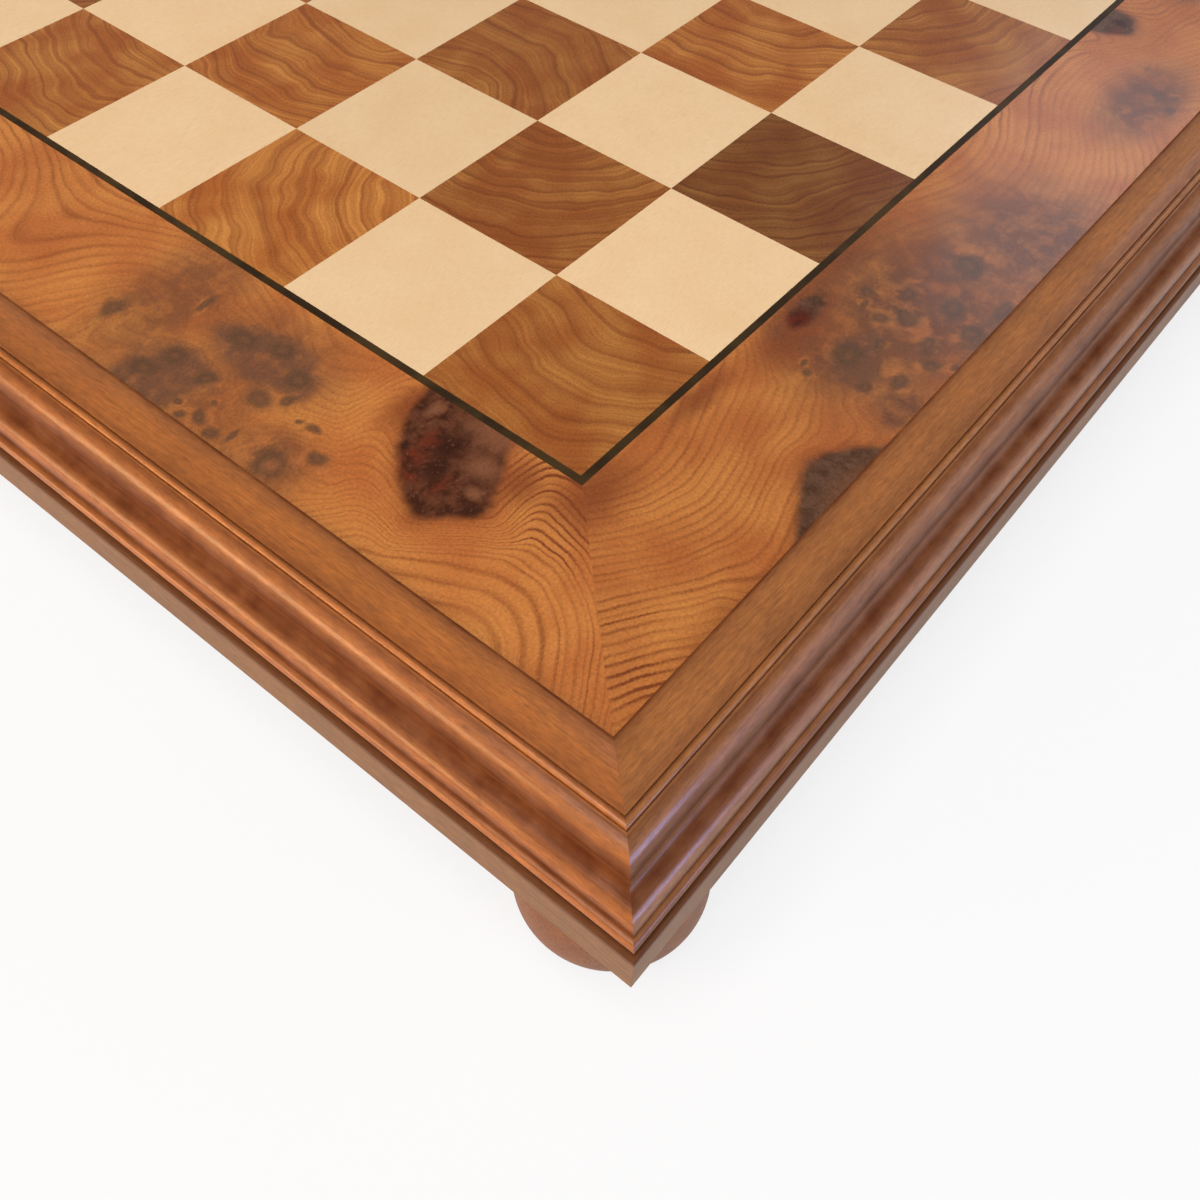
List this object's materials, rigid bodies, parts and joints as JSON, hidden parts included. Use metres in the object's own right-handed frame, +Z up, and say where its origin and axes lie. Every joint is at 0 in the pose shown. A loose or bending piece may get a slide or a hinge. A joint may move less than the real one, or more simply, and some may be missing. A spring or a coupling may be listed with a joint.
{
  "type": "chess table",
  "caption": "Square table-top chess table: inlaid veneer board in a mitred, moulded frame on turned bun feet.",
  "frame": {"origin": "middle of the square, on the plane that the felt pads stand on", "axes": "+Z up; +X to the right and +Y away from the player at the front, whose left-hand corner square is dark"},
  "size_m": [0.5, 0.5, 0.0543],
  "materials": {
    "fibreboard": "sawn fibreboard, uncoated",
    "balance_veneer": "plain veneer, sealed matt",
    "elm_squares": "elm veneer, satin lacquer",
    "maple_squares": "maple veneer, satin lacquer",
    "black_stringing": "dyed black veneer, satin lacquer",
    "elm_burl": "elm burl veneer, gloss lacquer",
    "frame_wood": "stained hardwood, satin lacquer",
    "plinth_wood": "stained hardwood, satin lacquer",
    "foot_wood": "stained hardwood, turned, satin lacquer",
    "spline_wood": "beech, unfinished",
    "block_wood": "beech, unfinished",
    "screw_steel": "zinc plated steel",
    "insert_brass": "turned brass",
    "bolt_steel": "bright zinc plated steel",
    "felt": "pressed felt"
  },
  "bodies": {
    "table": {"core_panel": "fibreboard", "balance_veneer": "balance_veneer", "dark_squares": "elm_squares", "light_squares": "maple_squares", "stringing_right": "black_stringing", "border_veneer_right": "elm_burl", "frame_rail_right": "frame_wood", "plinth_strip_right": "plinth_wood", "stringing_back": "black_stringing", "border_veneer_back": "elm_burl", "frame_rail_back": "frame_wood", "plinth_strip_back": "plinth_wood", "stringing_left": "black_stringing", "border_veneer_left": "elm_burl", "frame_rail_left": "frame_wood", "plinth_strip_left": "plinth_wood", "stringing_front": "black_stringing", "border_veneer_front": "elm_burl", "frame_rail_front": "frame_wood", "plinth_strip_front": "plinth_wood", "mitre_spline_back_right": "spline_wood", "corner_block_back_right": "block_wood", "mitre_spline_back_left": "spline_wood", "corner_block_back_left": "block_wood", "mitre_spline_front_left": "spline_wood", "corner_block_front_left": "block_wood", "mitre_spline_front_right": "spline_wood", "corner_block_front_right": "block_wood", "corner_screws": "screw_steel", "foot_inserts": "insert_brass"},
    "foot_back_right": {"bun_foot_back_right": "foot_wood", "hanger_bolt_back_right": "bolt_steel", "felt_pad_back_right": "felt"},
    "foot_back_left": {"bun_foot_back_left": "foot_wood", "hanger_bolt_back_left": "bolt_steel", "felt_pad_back_left": "felt"},
    "foot_front_left": {"bun_foot_front_left": "foot_wood", "hanger_bolt_front_left": "bolt_steel", "felt_pad_front_left": "felt"},
    "foot_front_right": {"bun_foot_front_right": "foot_wood", "hanger_bolt_front_right": "bolt_steel", "felt_pad_front_right": "felt"}
  },
  "joints": [
    {"name": "foot_turn_back_right", "type": "hinge", "parent": "table", "child": "foot_back_right", "pos_m": [0.2303, 0.2303, 0.027], "axis": [0, 0, -1], "range_deg": [0, 180]},
    {"name": "foot_turn_back_left", "type": "hinge", "parent": "table", "child": "foot_back_left", "pos_m": [-0.2303, 0.2303, 0.027], "axis": [0, 0, -1], "range_deg": [0, 180]},
    {"name": "foot_turn_front_left", "type": "hinge", "parent": "table", "child": "foot_front_left", "pos_m": [-0.2303, -0.2303, 0.027], "axis": [0, 0, -1], "range_deg": [0, 180]},
    {"name": "foot_turn_front_right", "type": "hinge", "parent": "table", "child": "foot_front_right", "pos_m": [0.2303, -0.2303, 0.027], "axis": [0, 0, -1], "range_deg": [0, 180]}
  ]
}
